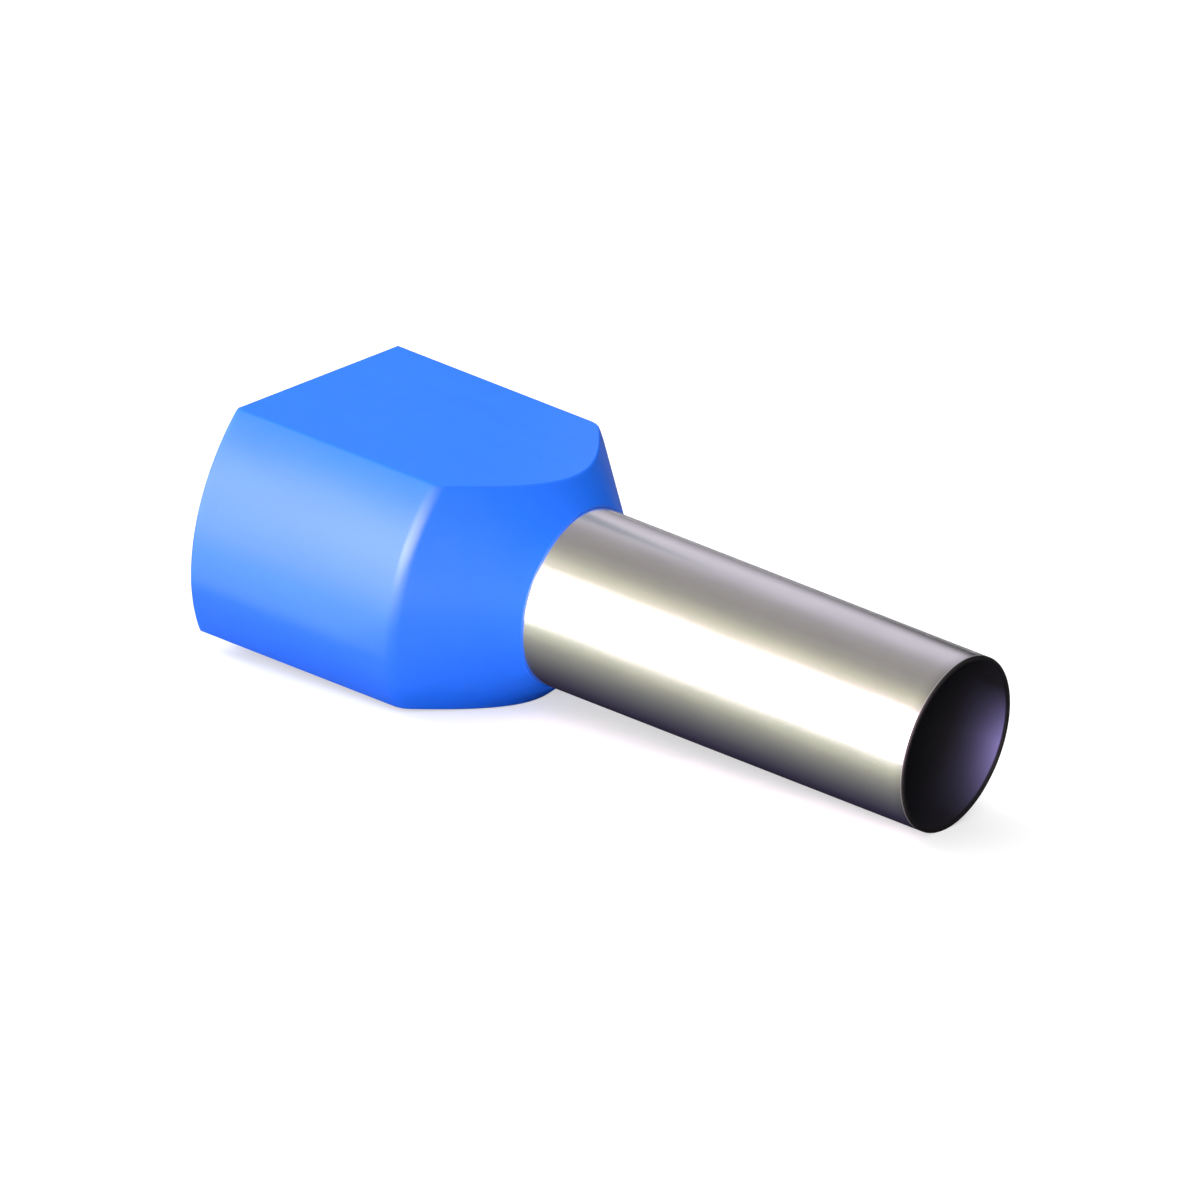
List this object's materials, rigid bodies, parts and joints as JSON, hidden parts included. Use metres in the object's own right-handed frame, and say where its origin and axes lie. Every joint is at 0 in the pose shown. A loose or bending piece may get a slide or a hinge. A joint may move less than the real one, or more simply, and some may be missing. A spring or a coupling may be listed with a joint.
{
  "type": "wire ferrule",
  "caption": "Wire ferrule for a pair of insulated conductors: a flat-sided plastic collar with a funnel mouth on a thin round metal sleeve that is crimped over the bare strands.",
  "frame": {"origin": "on the sleeve's axis, in the plane of the collar's nose, where the bare sleeve starts", "axes": "+X along the sleeve towards its free end, +Z square to the collar's two flats, +Y across the two wires"},
  "size_m": [0.0373, 0.0176, 0.0112],
  "materials": {
    "collar_plastic": "satin moulded polypropylene, blue",
    "tinned_copper": "smooth tin plate over drawn copper"
  },
  "bodies": {
    "root": {"collar": "collar_plastic", "sleeve": "tinned_copper"}
  },
  "joints": []
}
